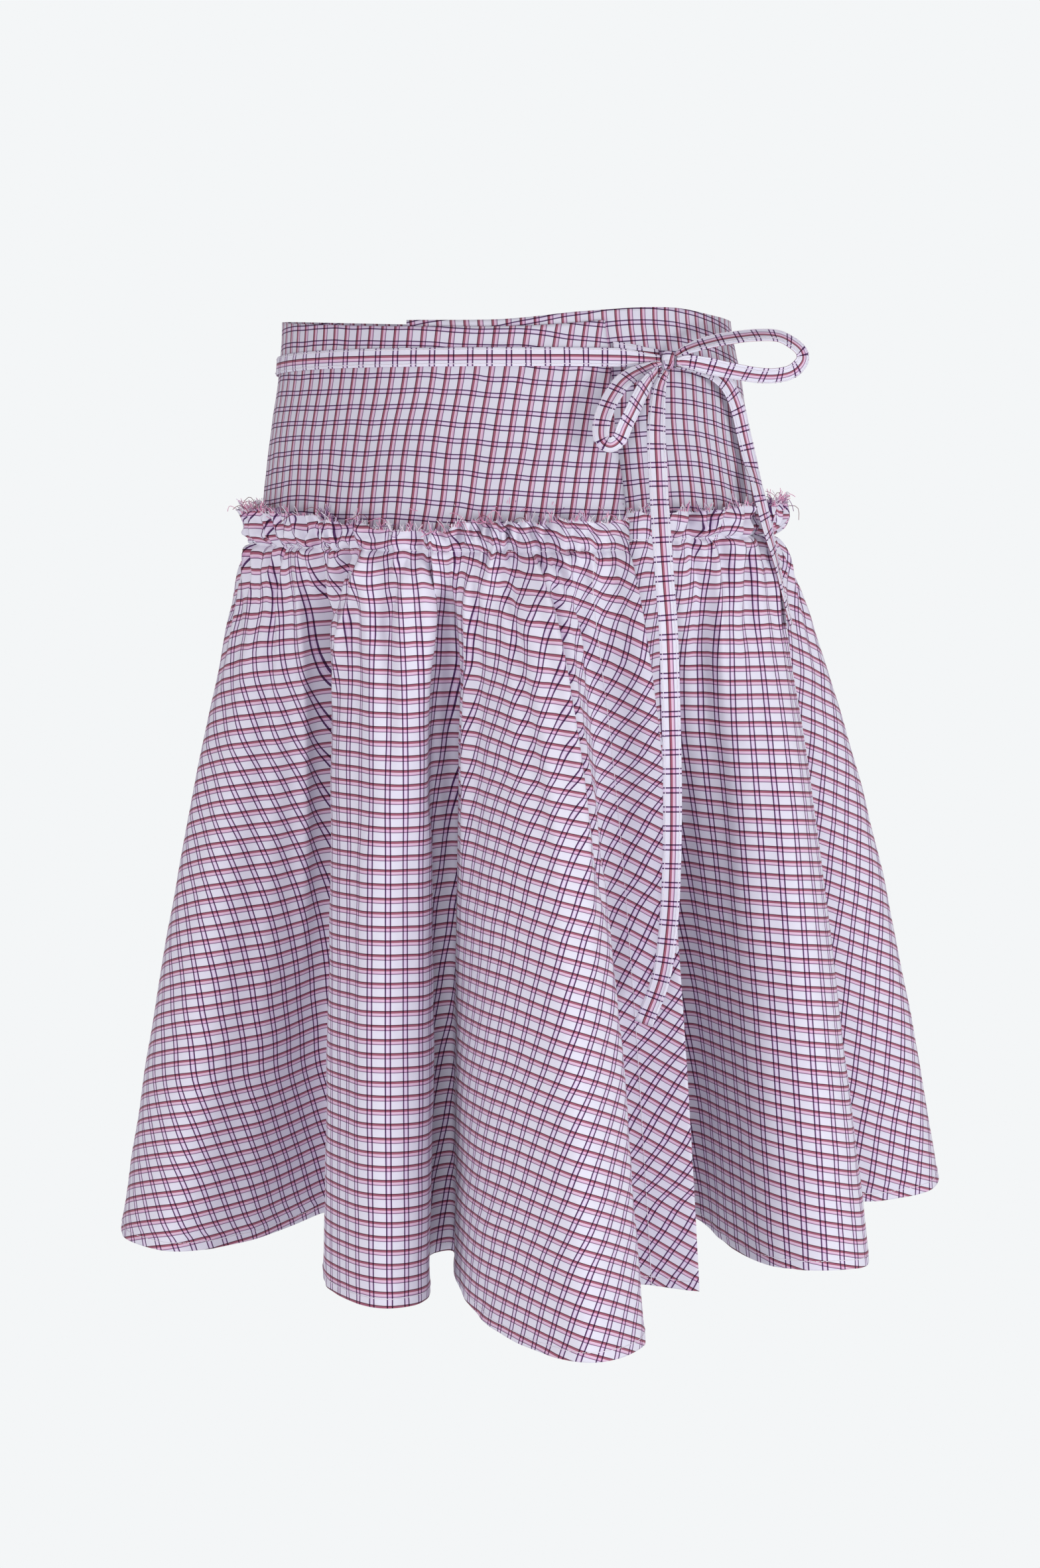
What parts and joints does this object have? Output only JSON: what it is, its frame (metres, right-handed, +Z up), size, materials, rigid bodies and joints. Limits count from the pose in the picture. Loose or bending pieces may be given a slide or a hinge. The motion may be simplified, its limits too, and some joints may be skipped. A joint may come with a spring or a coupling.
{
  "type": "midi skirt",
  "caption": "Wrap midi skirt in checked cotton as worn: fitted hip yoke, gathered flared tier with a frayed heading, and narrow ties in a bow.",
  "frame": {"origin": "middle of the waist opening, level with its edge at the side and the back", "axes": "+Z up along the worn skirt, -Y to the front of the wearer, +X to the wearer's left, where the bow is"},
  "size_m": [0.568, 0.4729, 0.6322],
  "materials": {
    "yoke_cotton": "matte woven check",
    "tier_cotton": "matte woven check",
    "tie_cotton": "matte woven check"
  },
  "bodies": {
    "root": {"yoke_under_front": "yoke_cotton", "yoke_back": "yoke_cotton", "yoke_over_front": "yoke_cotton", "tier_under_front": "tier_cotton", "tier_back": "tier_cotton", "tier_over_front": "tier_cotton", "tie_waist": "tie_cotton", "tie_short": "tie_cotton", "bow_knot": "tie_cotton", "bow_loop_right": "tie_cotton", "bow_loop_left": "tie_cotton", "tail_front": "tie_cotton", "tail_side": "tie_cotton"}
  },
  "joints": []
}
